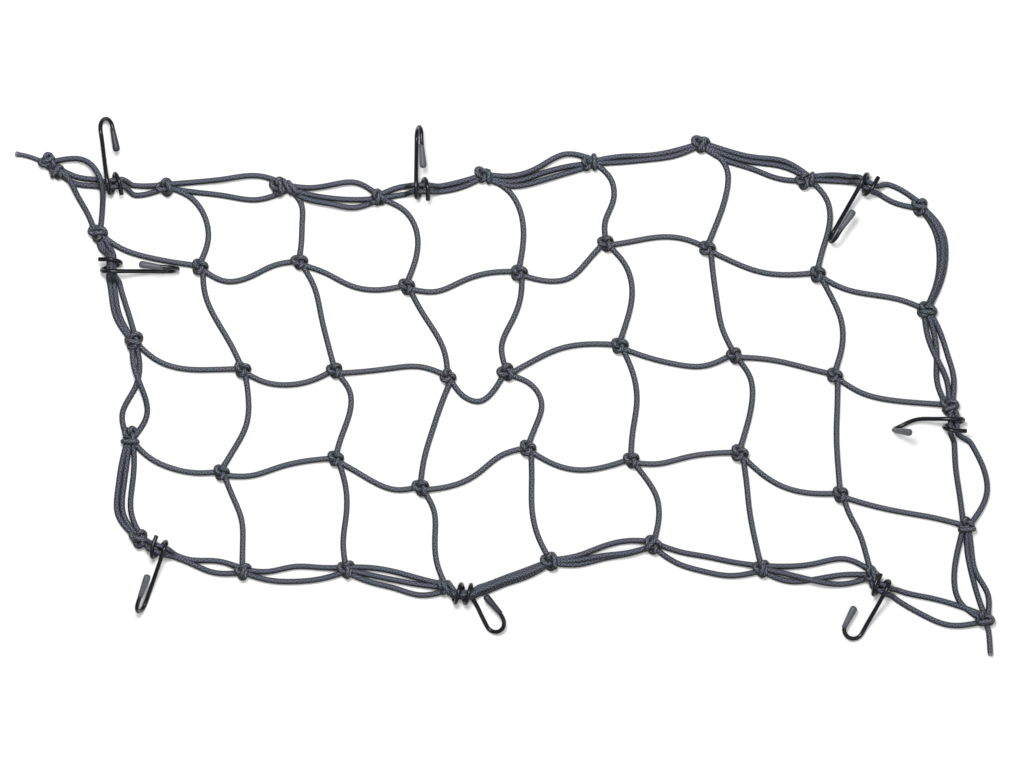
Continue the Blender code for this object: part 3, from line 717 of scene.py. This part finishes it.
def hook_way(number, hook):
    """The wire's middle line, in (out, left, up) from the coil's middle."""
    under = number == UNDER_HOOK
    way = coil_way(under, hook.hand)
    side = hook.hand * COIL_PITCH / 2
    if number == BENT_HOOK:
        return way + [np.array((out, side + left, up - COIL_MIDDLE)) for out, left, up in BENT_WAY]
    tilt = math.radians(hook.lean)
    rise = np.array((0, math.sin(tilt), math.cos(tilt)))
    ahead = np.array((1.0, 0, 0))
    base = np.array((0, side, -COIL_RADIUS))
    for along, high in SHANK_DROP:
        way.append(base + ahead * (hook.shank * along)
                   + UP * (0 if under else 2 * COIL_RADIUS * high))
    for i in range(BEND_POINTS + 1):
        angle = math.pi * i / BEND_POINTS
        way.append(base + ahead * (hook.shank + BEND_RADIUS * math.sin(angle))
                   + rise * (BEND_RADIUS * (1 - math.cos(angle))))
    turn_out = np.array((0, math.copysign(hook.turned_out, hook.lean * hook.turned_out), 0))
    tip = base + ahead * (hook.shank - hook.back + CAP_END) + rise * (2 * BEND_RADIUS)
    way += [(way[-1] + tip) / 2 + turn_out * 0.35, tip + turn_out]
    return way


def add_hooks(metal, plastic, dark_plastic):
    for number, hook in enumerate(HOOKS, start=1):
        coil = Coil(hook.place, hook.heading)
        way = [coil.middle + coil.out * out + coil.left * left + UP * up
               for out, left, up in hook_way(number, hook)]
        curve = smooth_way(way, WIRE_STEP)
        skin = Skin()
        skin.tube(curve, WIRE_RADIUS, WIRE_SIDES)
        skin.finish(f"hook_wire_{number}", metal, "coated_wire", (f"hook_{number}",))
        end, ahead = curve[-1], curve[-1] - curve[-2]
        ahead /= np.linalg.norm(ahead)
        skin = Skin()
        line = np.array([end + ahead * along for along, radius in CAP_PROFILE])
        skin.tube(line, [radius for along, radius in CAP_PROFILE], CAP_SIDES)
        cap_material = dark_plastic if number in DARK_CAPS else plastic
        skin.finish(f"hook_tip_{number}", cap_material, "cap_plastic", (f"hook_{number}_cap",))


# ---------------------------------------------------------------- stage
def add_lamp(name, place, side, watts):
    """A square lamp that faces the middle of the surface."""
    light = bpy.data.lights.new(name, "AREA")
    light.shape = "RECTANGLE"
    light.size = light.size_y = side
    light.energy = watts
    lamp = bpy.data.objects.new(name, light)
    lamp.location = place
    x, y, z = place
    lamp.rotation_euler = (math.atan2(math.hypot(x, y), z), 0, math.atan2(x, -y))
    bpy.context.scene.collection.objects.link(lamp)


def add_stage():
    bpy.ops.mesh.primitive_plane_add(size=FLOOR_SIDE, location=(0, 0, 0))
    floor = bpy.context.object
    floor.name = "floor"
    white, _ = shader("floor_white", (0.9, 0.9, 0.9), 0.9, 0.0)
    floor.data.materials.append(white)

    world = bpy.data.worlds.new("studio")
    bpy.context.scene.world = world
    world.use_nodes = True
    background = world.node_tree.nodes["Background"]
    background.inputs["Color"].default_value = (1, 1, 1, 1)
    background.inputs["Strength"].default_value = DAYLIGHT
    for name, lamp in LAMPS.items():
        add_lamp(name, *lamp)

    camera_data = bpy.data.cameras.new("camera")
    camera_data.lens = CAMERA_LENS
    camera_data.sensor_width = 36
    camera = bpy.data.objects.new("camera", camera_data)
    camera.location = (np.array(CAMERA_AT) - ORIGIN) * METRES
    bpy.context.scene.collection.objects.link(camera)
    bpy.context.scene.camera = camera
    bpy.context.scene.view_settings.view_transform = "Standard"


elastic = braided("elastic", (0.09, 0.095, 0.12), (0.08, 0.096, 0.119), (0.096, 0.095, 0.123))
# a darker copy of the same elastic: painted shade on the border cords
border_elastic_shaded = braided("border_elastic_shaded", (0.078, 0.083, 0.11), (0.068, 0.082, 0.11),
                         (0.082, 0.081, 0.114))
metal, _ = shader("wire", (0.004, 0.0045, 0.008), 0.2, 0.3)
plastic, _ = shader("cap", (0.065, 0.068, 0.085), 0.5)
dark_plastic, _ = shader("dark_cap", (0.016, 0.017, 0.026), 0.45)
melted, _ = shader("melted_tip", (0.13, 0.13, 0.15), 0.45)

add_cords("cords_inner", inner_cords(), elastic, ("net",))
add_cords("cords_border", border_cords(), border_elastic_shaded)
add_inner_knots(elastic)
add_border_knots(elastic)
add_tails(elastic, melted)
add_hooks(metal, plastic, dark_plastic)
add_stage()
